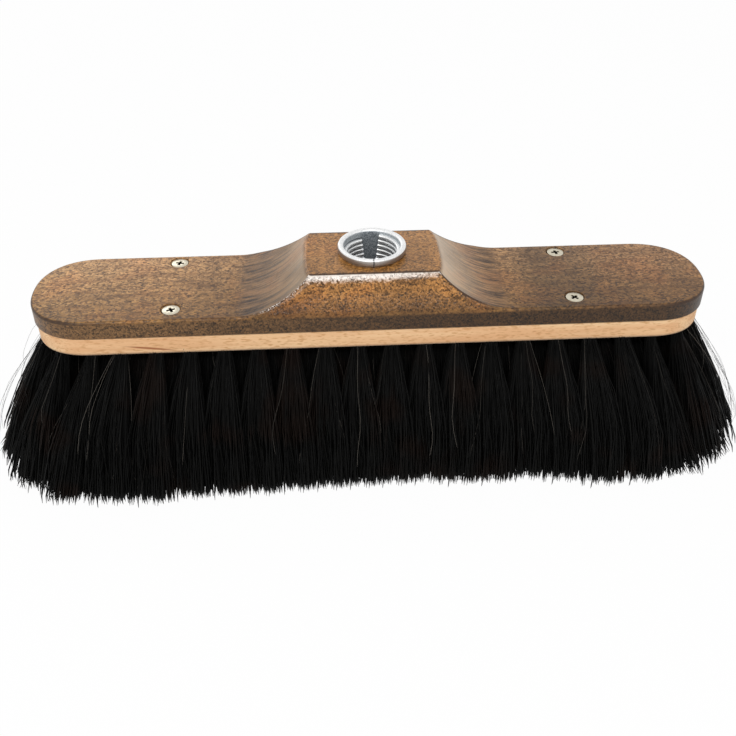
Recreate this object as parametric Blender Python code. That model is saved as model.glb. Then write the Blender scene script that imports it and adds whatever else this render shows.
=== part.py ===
"""Horsehair broom head: a wooden cover block with a saddle, screwed on a drilled bristle board.

Frame: X runs along the broom, +Y points away from the sweeper, Z is up. The origin is the middle
of the footprint, on the plane that the bristle tips stand on. Sizes are in metres.
"""

from math import asin, cos, pi, radians, sin

import bmesh
import bpy
from mathutils import Vector

# Driving dimensions: heights
TRIM_LENGTH = 0.0590
BOARD_THICKNESS = 0.0090
FLAT_THICKNESS = 0.0085
SADDLE_RISE = 0.0150
RIM_PROUD = 0.0039

# Driving dimensions: plan of the wooden block
COVER_LENGTH = 0.3000
COVER_WIDTH = 0.0540
END_RUN = 0.0272
END_POWER = 2.3
BOARD_INSET = 0.0008

# Driving dimensions: saddle
SADDLE_TOP_LENGTH = 0.0588
SADDLE_TOP_WIDTH = 0.0368
SADDLE_CORNER_DRAW = 0.0020
SADDLE_TOP_COLUMNS = (1.0, 0.85, 0.55)
SCOOP_RUN = 0.0315
SCOOP_SINK = 0.0004

# Driving dimensions: handle socket, for a 24 mm handle
SOCKET_BORE = 0.0246
SOCKET_WALL = 0.0009
SOCKET_FLOOR = 0.0040
HANDLE_SEAT_ROOM = 0.0023
RIM_LIP = 0.0018
RIB_HEIGHT = 0.0015
RIB_PITCH = 0.00235
RIB_FOOT = 0.0007
RIB_MARGIN = radians(5)
RIB_LEAD_IN = radians(6)
SEAM_WIDTH = 0.0005
PLAIN_STRIP_WIDTH = 0.0068

# Driving dimensions: screws, 4 x 16 mm countersunk
SCREW_LENGTH = 0.0160
SCREW_DIAMETER = 0.0040
SCREW_HEAD_DIAMETER = 0.0076
SCREW_SUNK = 0.0003
SCREW_RANK = 6
SCREW_EDGE_FRONT = 0.0089
SCREW_EDGE_BACK = 0.0059
SCREW_LAND = 0.0003
SCREW_TIP_RADIUS = 0.0003
CROSS_ARM = 0.0024
CROSS_WIDTH = 0.0011
CROSS_DEPTH = 0.0014
CROSS_TAPER = 0.45

# Driving dimensions: horsehair tufts
TUFT_PITCH = 0.0146
TUFT_RADIUS = 0.0023
TUFT_EDGE_MARGIN = 0.0042
NECK_LENGTH = 0.0010
WIRE_THICKNESS = 0.0008
TIP_SPREAD_RATIO = 1.88
TIP_FLARE_X = 0.0295
BEND_SHARE = 0.44
STRAND_FILL = 0.9

# A fan's tufts as (degrees from the X axis, share of the reach), in the order of its wire
FAN_TUFTS = ((-90, 1), (-54, 1), (-45, 0.5), (-18, 1), (18, 1), (45, 0.5), (54, 1), (90, 1))

# Edges and clearances
GAP = 0.0003
WOOD_EDGE = 0.0012
SADDLE_EDGE = 0.0012
RECESS_CLEARANCE = 0.0005
PLUNGE = 0.0010

# Roundness of the meshes
END_STEPS = 12
SCOOP_STEPS = 9
SOCKET_SIDES = 32
SCREW_SIDES = 12
TUFT_HOLE_SIDES = 6

# Heights that follow
board_bottom = TRIM_LENGTH
board_top = board_bottom + BOARD_THICKNESS
cover_bottom = board_top + GAP
flat_top = cover_bottom + FLAT_THICKNESS
saddle_top = flat_top + SADDLE_RISE

# The socket hangs by its rim, and its lower edge stays clear of the floor that the handle stands on
socket_floor = cover_bottom + SOCKET_FLOOR
socket_bottom = socket_floor + HANDLE_SEAT_ROOM
rib_top = saddle_top + RIB_PITCH
thread_turns = int((rib_top - socket_bottom - RIB_FOOT) / RIB_PITCH) - 1

# The drawing wire lies on the board, under a shallow recess of the cover
wire_bottom = board_top + GAP
wire_top = wire_bottom + WIRE_THICKNESS
tuft_top = wire_top + GAP
recess_depth = tuft_top - cover_bottom + RECESS_CLEARANCE

# Plan values that follow
end_centre = COVER_LENGTH / 2 - END_RUN
tuft_inset = BOARD_INSET + TUFT_EDGE_MARGIN
row_outer = COVER_WIDTH / 2 - tuft_inset
row_step = row_outer / 2
fan_reach = END_RUN - tuft_inset
recess_inset = tuft_inset - TUFT_RADIUS - RECESS_CLEARANCE

# A row of tufts ends this share of a pitch before the round end begins
FAN_LEAD = 0.4
ranks_per_side = round(end_centre / TUFT_PITCH - FAN_LEAD)
rank_pitch = end_centre / (ranks_per_side + FAN_LEAD)

# At the floor the strands of all tufts stand in an even grid, and thicken to fill it
tip_gap_x = rank_pitch / 4
tip_gap_y = row_step * TIP_SPREAD_RATIO / 4
strand_middle = TUFT_RADIUS / 3
tip_thickness = STRAND_FILL * (tip_gap_x - strand_middle) / (TUFT_RADIUS - strand_middle)

screw_x = SCREW_RANK * rank_pitch
screw_ys = (SCREW_EDGE_FRONT - COVER_WIDTH / 2, COVER_WIDTH / 2 - SCREW_EDGE_BACK)


def clear_of(radius, sides):
    """Corner radius of a many-sided hole that keeps the gap to a round piece in it."""
    return (radius + GAP) / cos(pi / sides)


def material(name, colour, roughness, metallic=0.0):
    """A Principled material."""
    mat = bpy.data.materials.new(name)
    mat.use_nodes = True
    shader = mat.node_tree.nodes["Principled BSDF"]
    shader.inputs["Base Color"].default_value = (*colour, 1.0)
    shader.inputs["Roughness"].default_value = roughness
    shader.inputs["Metallic"].default_value = metallic
    return mat


def add_object(name, bm, mat=None, smooth_angle=radians(40)):
    """Turn a bmesh into a named object, with its round stretches smooth."""
    bmesh.ops.recalc_face_normals(bm, faces=bm.faces)
    mesh = bpy.data.meshes.new(name)
    bm.to_mesh(mesh)
    bm.free()
    mesh.shade_smooth()
    mesh.set_sharp_from_angle(angle=smooth_angle)
    obj = bpy.data.objects.new(name, mesh)
    bpy.context.collection.objects.link(obj)
    if mat:
        mesh.materials.append(mat)
    return obj


def add_tool(name, bm):
    """A body that only cuts or joins another: it is no piece of the broom."""
    tool = add_object(name, bm)
    tool.hide_render = True
    tool.display_type = "WIRE"
    return tool


def combine(target, tool, operation):
    """Cut or join the target with a tool."""
    modifier = target.modifiers.new(tool.name, "BOOLEAN")
    modifier.operation = operation
    modifier.solver = "EXACT"
    modifier.object = tool


def join_rings(bm, rings):
    """Skin a list of vertex rings and close the first and the last with a face."""
    for lower, upper in zip(rings, rings[1:]):
        count = len(lower)
        for i in range(count):
            j = (i + 1) % count
            bm.faces.new((lower[i], lower[j], upper[j], upper[i]))
    bm.faces.new(list(reversed(rings[0])))
    bm.faces.new(rings[-1])


def add_lathe(bm, profile, sides, centre=(0.0, 0.0)):
    """A solid of revolution about a vertical axis, from (radius, height) pairs."""
    rings = []
    for radius, height in profile:
        ring = []
        for i in range(sides):
            angle = 2 * pi * i / sides
            place = (centre[0] + radius * cos(angle), centre[1] + radius * sin(angle), height)
            ring.append(bm.verts.new(place))
        rings.append(ring)
    join_rings(bm, rings)


def outline(inset):
    """The block's plan, drawn in by an inset: straight sides and superelliptic ends."""
    half_length = COVER_LENGTH / 2 - inset
    half_width = COVER_WIDTH / 2 - inset
    run = END_RUN - inset
    right = []
    for i in range(END_STEPS + 1):
        angle = pi * (i / END_STEPS - 0.5)
        across = abs(sin(angle)) ** (2 / END_POWER)
        along = cos(angle) ** (2 / END_POWER) if 0 < i < END_STEPS else 0.0
        side = 1 if angle > 0 else -1
        right.append((half_length - run + run * along, side * half_width * across))
    left = [(-x, -y) for x, y in right]
    return right + left


def add_slab(bm, levels):
    """A slab with the block's plan, from (inset, height) pairs, bottom to top."""
    rings = [[bm.verts.new((x, y, height)) for x, y in outline(inset)] for inset, height in levels]
    join_rings(bm, rings)


# Cover block

def scoop_profile():
    """Side view of the saddle's right half: (x, height over the flats), foot to top edge."""
    radius = (SCOOP_RUN ** 2 + SADDLE_RISE ** 2) / (2 * SADDLE_RISE)
    foot_x = SADDLE_TOP_LENGTH / 2 + SCOOP_RUN
    sweep = asin(SCOOP_RUN / radius)
    points = [(foot_x + PLUNGE, -SCOOP_SINK)]
    for i in range(1, SCOOP_STEPS):
        angle = sweep * i / SCOOP_STEPS
        points.append((foot_x - radius * sin(angle), radius * (1 - cos(angle))))
    points.append((SADDLE_TOP_LENGTH / 2 + SADDLE_EDGE / 2, SADDLE_RISE - SADDLE_EDGE / 2))
    points.append((SADDLE_TOP_LENGTH / 2 - SADDLE_EDGE / 2, SADDLE_RISE))
    return points


def saddle_section(x, height):
    """One ring round the saddle, across the broom: from the front, over the top, to the back."""
    share = max(height / SADDLE_RISE, 0.0)
    edge = SADDLE_EDGE * max(share, SCOOP_SINK / SADDLE_EDGE)
    foot_y = COVER_WIDTH / 2 - GAP
    foot_height = GAP - WOOD_EDGE
    top_y = SADDLE_TOP_WIDTH / 2
    slope = (foot_y - top_y) / (SADDLE_RISE - foot_height)

    def slope_y(at):
        return foot_y - slope * (at - foot_height)

    shoulder_y = slope_y(height) - edge / 2
    half = [(foot_y, -FLAT_THICKNESS / 2), (foot_y, foot_height), (slope_y(height - edge), height - edge)]
    half += [(shoulder_y * part, height) for part in SADDLE_TOP_COLUMNS]
    ring = [(-y, z) for y, z in half] + [(0.0, height)] + list(reversed(half))
    side = 1 if x > 0 else -1
    places = []
    for y, z in ring:
        draw = SADDLE_CORNER_DRAW * share * min(abs(y) / top_y, 1.0) ** 4
        places.append((x - side * draw, y, flat_top + z))
    return places


def make_saddle():
    """The raised middle: scooped at its two ends, sloped at its front and back."""
    bm = bmesh.new()
    right = scoop_profile()
    stations = [(-x, z) for x, z in right] + list(reversed(right))
    rings = [[bm.verts.new(place) for place in saddle_section(x, z)] for x, z in stations]
    join_rings(bm, rings)
    return add_tool("saddle_shape", bm)


def make_cover(mat):
    """The stained block: a flat slab with the saddle on it, recessed underneath."""
    bm = bmesh.new()
    soft = WOOD_EDGE * (1 - cos(pi / 4))
    add_slab(bm, [
        (0.0, cover_bottom),
        (0.0, flat_top - WOOD_EDGE),
        (soft, flat_top - soft),
        (WOOD_EDGE, flat_top),
    ])
    cover = add_object("cover_block", bm, mat)
    combine(cover, make_saddle(), "UNION")

    bm = bmesh.new()
    add_slab(bm, [(recess_inset, cover_bottom - PLUNGE), (recess_inset, cover_bottom + recess_depth)])
    combine(cover, add_tool("wire_recess", bm), "DIFFERENCE")

    bm = bmesh.new()
    hole = clear_of(SOCKET_BORE / 2 + SOCKET_WALL, SOCKET_SIDES)
    add_lathe(bm, [(hole, socket_floor), (hole, saddle_top + PLUNGE)], SOCKET_SIDES)
    combine(cover, add_tool("socket_hole", bm), "DIFFERENCE")

    bm = bmesh.new()
    for centre in screw_places():
        add_lathe(bm, screw_hole_profile(), SCREW_SIDES, centre)
    combine(cover, add_tool("screw_holes", bm), "DIFFERENCE")
    return cover


# Bristle board

def make_board(mat):
    """The pale board, with a through hole for each tuft and a blind one for each screw."""
    bm = bmesh.new()
    soft = WOOD_EDGE * (1 - cos(pi / 4))
    add_slab(bm, [
        (BOARD_INSET + WOOD_EDGE, board_bottom),
        (BOARD_INSET + soft, board_bottom + soft),
        (BOARD_INSET, board_bottom + WOOD_EDGE),
        (BOARD_INSET, board_top),
    ])
    board = add_object("bristle_board", bm, mat)

    bm = bmesh.new()
    tuft_hole = clear_of(TUFT_RADIUS, TUFT_HOLE_SIDES)
    for chain in tuft_chains().values():
        for centre in chain:
            low = board_bottom - PLUNGE
            high = board_top + PLUNGE
            add_lathe(bm, [(tuft_hole, low), (tuft_hole, high)], TUFT_HOLE_SIDES, centre)
    pilot = clear_of(SCREW_DIAMETER / 2, SCREW_SIDES)
    pilot_floor = screw_head_top() - SCREW_LENGTH - GAP
    for centre in screw_places():
        add_lathe(bm, [(pilot, pilot_floor), (pilot, board_top + PLUNGE)], SCREW_SIDES, centre)
    combine(board, add_tool("board_holes", bm), "DIFFERENCE")
    return board


# Handle socket

def rib_depth(row, angle):
    """How far the wall is pressed in at a quarter-pitch row and an angle from the seam."""
    strip = PLAIN_STRIP_WIDTH / SOCKET_BORE
    from_seam = min(angle, 2 * pi - angle)
    from_end = min(from_seam - RIB_MARGIN, pi - strip - from_seam)
    if row % 4 not in (1, 2) or from_end < 0:
        return 0.0
    return RIB_HEIGHT * min(1.0, from_end / RIB_LEAD_IN)


def thread_drop(angle):
    """How far the right-hand thread has come down, from the strip's right side round by the seam."""
    return RIB_PITCH * ((pi - angle) / (2 * pi) % 1)


def socket_angles():
    """Angles round the socket from the seam: close together where the ribs begin and end."""
    seam = asin(SEAM_WIDTH / SOCKET_BORE)
    strip = PLAIN_STRIP_WIDTH / SOCKET_BORE
    first = RIB_MARGIN + RIB_LEAD_IN
    last = pi - strip - RIB_LEAD_IN
    steps = SOCKET_SIDES // 2 - 5
    half = [seam, RIB_MARGIN]
    half += [first + (last - first) * i / steps for i in range(steps + 1)]
    half += [pi - strip]
    return half + [2 * pi - angle for angle in reversed(half)]


def make_socket(mat):
    """Rolled sheet steel: curled rim, pressed thread ribs, a seam in front and a plain strip behind."""
    bore = SOCKET_BORE / 2
    outer = bore + SOCKET_WALL
    rim = outer + RIM_LIP
    lip = rim - bore
    curl = RIM_PROUD - GAP
    row_height = RIB_PITCH / 4

    bm = bmesh.new()
    rings = []
    for angle in socket_angles():
        profile = [
            (outer, socket_bottom),
            (outer, saddle_top + GAP),
            (rim - lip / 4, saddle_top + GAP),
            (rim, saddle_top + GAP + curl / 4),
            (rim, saddle_top + GAP + curl * 0.7),
            (rim - lip / 4, saddle_top + RIM_PROUD),
            (bore + lip / 3, saddle_top + RIM_PROUD),
            (bore + lip / 12, saddle_top + GAP + curl * 0.6),
        ]
        for row in range(4 * thread_turns + 1):
            height = rib_top - thread_drop(angle) - row * row_height
            profile.append((bore - rib_depth(row, angle), height))
        profile.append((bore, socket_bottom))
        # The seam faces the sweeper, at -Y
        turn = angle - pi / 2
        ring = [bm.verts.new((r * cos(turn), r * sin(turn), z)) for r, z in profile]
        rings.append(ring)
    join_rings(bm, rings)
    return add_object("handle_socket", bm, mat)


# Screws

def screw_places():
    """Plan positions of the four screws."""
    return [(side * screw_x, y) for side in (-1, 1) for y in screw_ys]


def screw_head_top():
    """Height of the screw heads, a little under the wood's surface."""
    return flat_top - SCREW_SUNK


def head_cone():
    """Height of the head's cone, which is a right-angled countersink."""
    return (SCREW_HEAD_DIAMETER - SCREW_DIAMETER) / 2


def screw_hole_profile():
    """Countersunk clearance hole for one screw, bottom to top."""
    shank = clear_of(SCREW_DIAMETER / 2, SCREW_SIDES)
    head = clear_of(SCREW_HEAD_DIAMETER / 2, SCREW_SIDES)
    seat = screw_head_top() - SCREW_LAND - GAP
    return [
        (shank, cover_bottom - PLUNGE),
        (shank, seat - (head - shank)),
        (head, seat),
        (head, flat_top + PLUNGE),
    ]


def make_screws(mat):
    """Countersunk screws with a cross recess, driven from the cover into the board."""
    top = screw_head_top()
    head = SCREW_HEAD_DIAMETER / 2
    shank = SCREW_DIAMETER / 2
    point = SCREW_DIAMETER
    half_width = CROSS_WIDTH / 2
    for number, (x, y) in enumerate(screw_places(), start=1):
        bm = bmesh.new()
        add_lathe(bm, [
            (SCREW_TIP_RADIUS, top - SCREW_LENGTH),
            (shank, top - SCREW_LENGTH + point),
            (shank, top - SCREW_LAND - head_cone()),
            (head, top - SCREW_LAND),
            (head, top),
        ], SCREW_SIDES, (x, y))
        screw = add_object(f"cover_screw_{number}", bm, mat)

        bm = bmesh.new()
        rings = []
        for arm, height in ((CROSS_ARM * CROSS_TAPER, top - CROSS_DEPTH), (CROSS_ARM, top + PLUNGE)):
            ring = []
            for quarter in range(4):
                turn = quarter * pi / 2 + pi / 4
                along = Vector((cos(turn), sin(turn), 0.0))
                across = Vector((-sin(turn), cos(turn), 0.0))
                middle = Vector((x, y, height))
                ring.append(bm.verts.new(middle + along * arm - across * half_width))
                ring.append(bm.verts.new(middle + along * arm + across * half_width))
                ring.append(bm.verts.new(middle + (along + across) * half_width))
            rings.append(ring)
        join_rings(bm, rings)
        combine(screw, add_tool(f"cross_recess_{number}", bm), "DIFFERENCE")


# Horsehair tufts

def tuft_chains():
    """Tufts in the order their wire passes them: zigzag ranks, then a fan in each round end."""
    chains = {}
    for rank in range(2 * ranks_per_side):
        pair_x = (rank - ranks_per_side) * rank_pitch
        triple_x = pair_x + rank_pitch / 2
        chain = []
        for row in range(-2, 3):
            chain.append((triple_x if row % 2 == 0 else pair_x, row * row_step))
        chains[f"tuft_rank_{rank + 1:02d}"] = chain
    for name, side in (("tuft_fan_left", -1), ("tuft_fan_right", 1)):
        chain = []
        for angle, share in FAN_TUFTS:
            x = end_centre + fan_reach * share * cos(radians(angle))
            chain.append((side * x, row_outer * share * sin(radians(angle))))
        chains[name] = chain
    # The last pair of the staggered rows stands in the right-hand fan
    pair_x = ranks_per_side * rank_pitch
    right = chains["tuft_fan_right"]
    chains["tuft_fan_right"] = [(pair_x, -row_step)] + right + [(pair_x, row_step)]
    return chains


def tip_of(x, y):
    """Where a tuft's middle meets the floor: tufts splay outwards, most of all at the ends."""
    flare = TIP_FLARE_X * abs(x / (end_centre + fan_reach)) ** 3
    return (x + flare if x > 0 else x - flare, y * TIP_SPREAD_RATIO)


def add_tuft(bm, x, y):
    """A square knot that splits into four three-sided strands below the board."""
    corners = [(TUFT_RADIUS * cos(i * pi / 2), TUFT_RADIUS * sin(i * pi / 2)) for i in range(4)]
    neck_height = board_bottom - NECK_LENGTH
    top_ring = [bm.verts.new((x + dx, y + dy, tuft_top)) for dx, dy in corners]
    neck_ring = [bm.verts.new((x + dx, y + dy, neck_height)) for dx, dy in corners]
    neck_middle = bm.verts.new((x, y, neck_height))
    bm.faces.new(top_ring)
    for i in range(4):
        j = (i + 1) % 4
        bm.faces.new((neck_ring[i], neck_ring[j], top_ring[j], top_ring[i]))
        strand_base = [neck_middle, neck_ring[i], neck_ring[j]]
        add_strand(bm, strand_base, (x, y), i)


def add_strand(bm, base, tuft, quarter):
    """One strand: out of its quarter of the neck, bending outwards, cut flat on the floor."""
    tip_x, tip_y = tip_of(*tuft)
    turn = quarter * pi / 2 + pi / 4
    side_x = 1 if cos(turn) > 0 else -1
    side_y = 1 if sin(turn) > 0 else -1
    splay = Vector((tip_x - tuft[0] + side_x * tip_gap_x, tip_y - tuft[1] + side_y * tip_gap_y, 0.0))
    middle = sum((vert.co for vert in base), Vector()) / 3
    ring = base
    for drop_share, splay_share in ((0.5, BEND_SHARE), (1.0, 1.0)):
        thickness = 1 + (tip_thickness - 1) * drop_share
        centre = middle + splay * splay_share
        centre.z = middle.z * (1 - drop_share)
        lower = [bm.verts.new(centre + (vert.co - middle) * thickness) for vert in base]
        for i in range(3):
            j = (i + 1) % 3
            bm.faces.new((ring[i], ring[j], lower[j], lower[i]))
        ring = lower
    bm.faces.new(ring)


def add_wire(bm, chain):
    """The drawing wire of one chain: a thin bar through the knots, above the board."""
    half = WIRE_THICKNESS / 2
    rings = []
    for i, point in enumerate(chain):
        here = Vector(point)
        before = (here - Vector(chain[i - 1])).normalized() if i > 0 else None
        after = (Vector(chain[i + 1]) - here).normalized() if i < len(chain) - 1 else None
        along = ((before or after) + (after or before)).normalized()
        across = Vector((-along.y, along.x)) * half
        ring = []
        for sign, height in ((-1, wire_bottom), (1, wire_bottom), (1, wire_top), (-1, wire_top)):
            place = here + across * sign
            ring.append(bm.verts.new((place.x, place.y, height)))
        rings.append(ring)
    join_rings(bm, rings)


def make_tufts(mat):
    """Each rank and fan of tufts, joined by its wire."""
    for name, chain in tuft_chains().items():
        bm = bmesh.new()
        for x, y in chain:
            add_tuft(bm, x, y)
        tufts = add_object(name, bm, mat)
        bm = bmesh.new()
        add_wire(bm, chain)
        combine(tufts, add_tool(f"{name}_wire", bm), "UNION")


def main():
    for obj in list(bpy.data.objects):
        bpy.data.objects.remove(obj, do_unlink=True)
    make_cover(material("stained_beech", (0.16, 0.085, 0.042), 0.42))
    make_board(material("natural_beech", (0.62, 0.40, 0.24), 0.55))
    make_socket(material("galvanised_steel", (0.62, 0.63, 0.64), 0.32, 1.0))
    make_screws(material("zinc_plated_steel", (0.66, 0.64, 0.58), 0.35, 1.0))
    make_tufts(material("black_horsehair", (0.012, 0.010, 0.009), 0.5))


main()
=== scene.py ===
"""Looks of a horsehair broom head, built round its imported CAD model.

Metres, in the model's frame: +X along the broom, +Y away from the sweeper, +Z up, the bristle
tips on Z = 0. The sections follow the broom as it is put together, after the camera.
"""

from functools import partial
from math import asin, atan2, copysign, cos, pi, radians, sin

import bmesh
import bpy
import numpy as np
from mathutils import Matrix, Vector


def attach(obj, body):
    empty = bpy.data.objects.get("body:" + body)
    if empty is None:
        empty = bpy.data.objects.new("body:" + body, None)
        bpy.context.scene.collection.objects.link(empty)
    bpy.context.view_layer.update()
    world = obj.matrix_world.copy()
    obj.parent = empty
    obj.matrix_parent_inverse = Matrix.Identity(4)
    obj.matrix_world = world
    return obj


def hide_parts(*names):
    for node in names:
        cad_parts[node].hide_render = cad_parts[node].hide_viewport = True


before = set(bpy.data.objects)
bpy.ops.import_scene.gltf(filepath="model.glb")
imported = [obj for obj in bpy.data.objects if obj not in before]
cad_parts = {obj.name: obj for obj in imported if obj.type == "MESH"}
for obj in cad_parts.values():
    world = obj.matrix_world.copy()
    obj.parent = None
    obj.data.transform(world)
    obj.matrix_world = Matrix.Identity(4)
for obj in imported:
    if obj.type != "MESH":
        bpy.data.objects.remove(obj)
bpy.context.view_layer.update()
scene = bpy.context.scene
scene.view_settings.view_transform = "Standard"


# Camera
# The photograph looks down on the broom's front at 37 degrees, from a little left of its middle and
# from close by, so the far end looks smaller than the near one.

CAMERA_TARGET = Vector((-0.0017, 0.0, 0.02775))
CAMERA_DISTANCE = 0.4504
CAMERA_ELEVATION = radians(36.97)
CAMERA_AZIMUTH = radians(-3.33)
CAMERA_LENS = 45.9

backwards = Vector((
    sin(CAMERA_AZIMUTH) * cos(CAMERA_ELEVATION),
    -cos(CAMERA_AZIMUTH) * cos(CAMERA_ELEVATION),
    sin(CAMERA_ELEVATION),
))
camera_data = bpy.data.cameras.new("camera")
camera_data.sensor_width = 36.0
camera_data.lens = CAMERA_LENS
camera_data.clip_start = 0.01
camera = bpy.data.objects.new("camera", camera_data)
camera.location = CAMERA_TARGET + backwards * CAMERA_DISTANCE
camera.rotation_euler = backwards.to_track_quat("Z", "Y").to_euler()
scene.collection.objects.link(camera)
scene.camera = camera


# Cover block
# One piece of beech, moulded by cutters: flat wings with round ends, a saddle with a hollow scoop at
# each side and a slope in front and behind. Stained walnut brown and waxed, then screwed down.

COVER_BOTTOM = 0.0683
FLAT_TOP = 0.0768
SADDLE_TOP = 0.0918
BLOCK_LENGTH = 0.3000
BLOCK_WIDTH = 0.0540
END_RUN = 0.0272
END_POWER = 2.3
WOOD_EDGE = 0.0012
SADDLE_HALF_LENGTH = 0.0294
SADDLE_HALF_WIDTH = 0.0184
SADDLE_CORNER_DRAW = 0.0020
SADDLE_EDGE = 0.0007
FACET_HEIGHT = 0.0021
FACET_SHARE = 0.18
FACET_BULGE = 0.0006
SCOOP_RUN = 0.0315
SOCKET_HOLE = 0.0135
SOCKET_FLOOR = 0.0723
SCREW_X = 0.0877
SCREW_YS = (-0.0181, 0.0211)
SCREW_HEAD_HOLE = 0.0044
SCREW_SHANK_HOLE = 0.0023
SCREW_SEAT = 0.0762
WIRE_RECESS = 0.0016
WIRE_RECESS_INSET = 0.0022
BOTTOM_EDGE = 0.0003
SOCKET_HOLE_EDGE = 0.0003
SCREW_HOLE_EDGE = 0.00015
# Where a section's edge turns from foot to slope to arris, and how one kind of section fades to another
FOOT_ENDS = 0.15
SLOPE_ENDS = 0.8
FIRST_RISE = (0.0003, 0.0027)
LOW_SLOPE = 0.004
FACET_FADE = 0.006
SCOOP_FADE = 0.006
SADDLE_FADE = 0.0012
# How finely the block is divided
EDGE_STEPS = 26
ARRIS_STEPS = 4
ARRIS_ROW = 3 + EDGE_STEPS
TOP_SHARES = (0.98, 0.9, 0.75, 0.55, 0.3, 0.0)
END_STEPS = 30
FLAT_STATIONS = (0.115, 0.105, 0.095, 0.085, 0.075, 0.068, 0.063)
SCOOP_STEPS = 34
CORNER_STEPS = 6
TOP_STATIONS = (0.0275, 0.0255, 0.021, 0.016, 0.010, 0.005, 0.0)
SOCKET_SIDES = 96
SCREW_SIDES = 40
SMOOTH_ANGLE = 40
# How far a cutter reaches past the wood, and how near two corners are taken for one
CUT_PAST = 0.001
SECTION_WELD = 0.000002
SAME_PLACE = 0.000001
NO_LENGTH = 0.0000001

saddle_rise = SADDLE_TOP - FLAT_TOP
scoop_radius = (SCOOP_RUN ** 2 + saddle_rise ** 2) / (2 * saddle_rise)
scoop_foot = SADDLE_HALF_LENGTH + SCOOP_RUN
end_centre = BLOCK_LENGTH / 2 - END_RUN
screw_places = [(side * SCREW_X, y) for side in (-1, 1) for y in SCREW_YS]


def end_outline(angle, inset):
    """A point of the right end's plan: 0 degrees is the tip, 90 degrees the start of the side."""
    x = end_centre + (END_RUN - inset) * max(cos(angle), 0.0) ** (2 / END_POWER)
    return x, (BLOCK_WIDTH / 2 - inset) * sin(angle) ** (2 / END_POWER)


def rounded(start, corner, end, share):
    """A point on the soft corner between two edges."""
    a, b, c = (1 - share) ** 2, 2 * share * (1 - share), share ** 2
    return tuple(a * s + b * k + c * e for s, k, e in zip(start, corner, end))


def eased(value):
    """0 below 0, 1 above 1, and a soft rise between them."""
    value = min(max(value, 0.0), 1.0)
    return value * value * (3 - 2 * value)


def soft_least(first, second):
    """The lesser of two values, rounded off where they cross."""
    return max((first + second - ((first - second) ** 2 + 0.01) ** 0.5) / 2, 0.0)


def edge_point(share, height):
    """The top's outer edge at a section: (distance from the middle, height over the flats)."""
    half = BLOCK_WIDTH / 2
    turn = share * pi / 2
    flat = (half - WOOD_EDGE * (1 - cos(turn)), -WOOD_EDGE + (WOOD_EDGE + height) * sin(turn))
    if height <= 0:
        return flat
    arris = (half - (half - SADDLE_HALF_WIDTH) * height / saddle_rise, height)
    run = Vector((arris[0] - half, height))
    foot_round = min(WOOD_EDGE, run.length * 0.4)
    arris_round = min(SADDLE_EDGE, run.length * 0.3)
    up = run.normalized()
    foot_end = (half + up.x * foot_round, up.y * foot_round)
    slope_end = (arris[0] - up.x * arris_round, arris[1] - up.y * arris_round)
    if share < FOOT_ENDS:
        place = rounded((half, -WOOD_EDGE), (half, 0.0), foot_end, share / FOOT_ENDS)
    elif share < SLOPE_ENDS:
        along = (share - FOOT_ENDS) / (SLOPE_ENDS - FOOT_ENDS)
        place = tuple(f + (s - f) * along for f, s in zip(foot_end, slope_end))
    else:
        along = (share - SLOPE_ENDS) / (1 - SLOPE_ENDS)
        place = rounded(slope_end, arris, (arris[0] - arris_round, height), along)
    # Sanding has laid a narrow facet along the top of the slope
    below = (height - place[1]) / FACET_HEIGHT
    above = max(1.6 - 0.6 * below * FACET_HEIGHT / (height * FACET_SHARE), 0.0)
    bulge = FACET_BULGE * soft_least(below, above) * eased((height - LOW_SLOPE) / FACET_FADE)
    blend = eased((height - FIRST_RISE[0]) / FIRST_RISE[1])
    return flat[0] + (place[0] + bulge - flat[0]) * blend, flat[1] + (place[1] - flat[1]) * blend


def half_section(height):
    """Half a section, bottom to middle: (distance, height, on the arris, on the slope or top)."""
    half = BLOCK_WIDTH / 2
    rows = [(half - BOTTOM_EDGE, COVER_BOTTOM, 0, 0), (half, COVER_BOTTOM + BOTTOM_EDGE, 0, 0)]
    rows.append((half, (COVER_BOTTOM + FLAT_TOP) / 2, 0, 0))
    rise = eased(height / LOW_SLOPE)
    for step in range(EDGE_STEPS + 1):
        y, z = edge_point(step / EDGE_STEPS, height)
        on_arris = rise if step >= EDGE_STEPS - ARRIS_STEPS else 0
        rows.append((y, FLAT_TOP + z, on_arris, rise * min(step / ARRIS_STEPS, 1)))
    inner = rows[-1][0]
    on_top = 0.75 * eased((height / saddle_rise - 0.97) / 0.03)
    for share in TOP_SHARES:
        rows.append((inner * share, FLAT_TOP + height, 0, on_top))
    return rows


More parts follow.
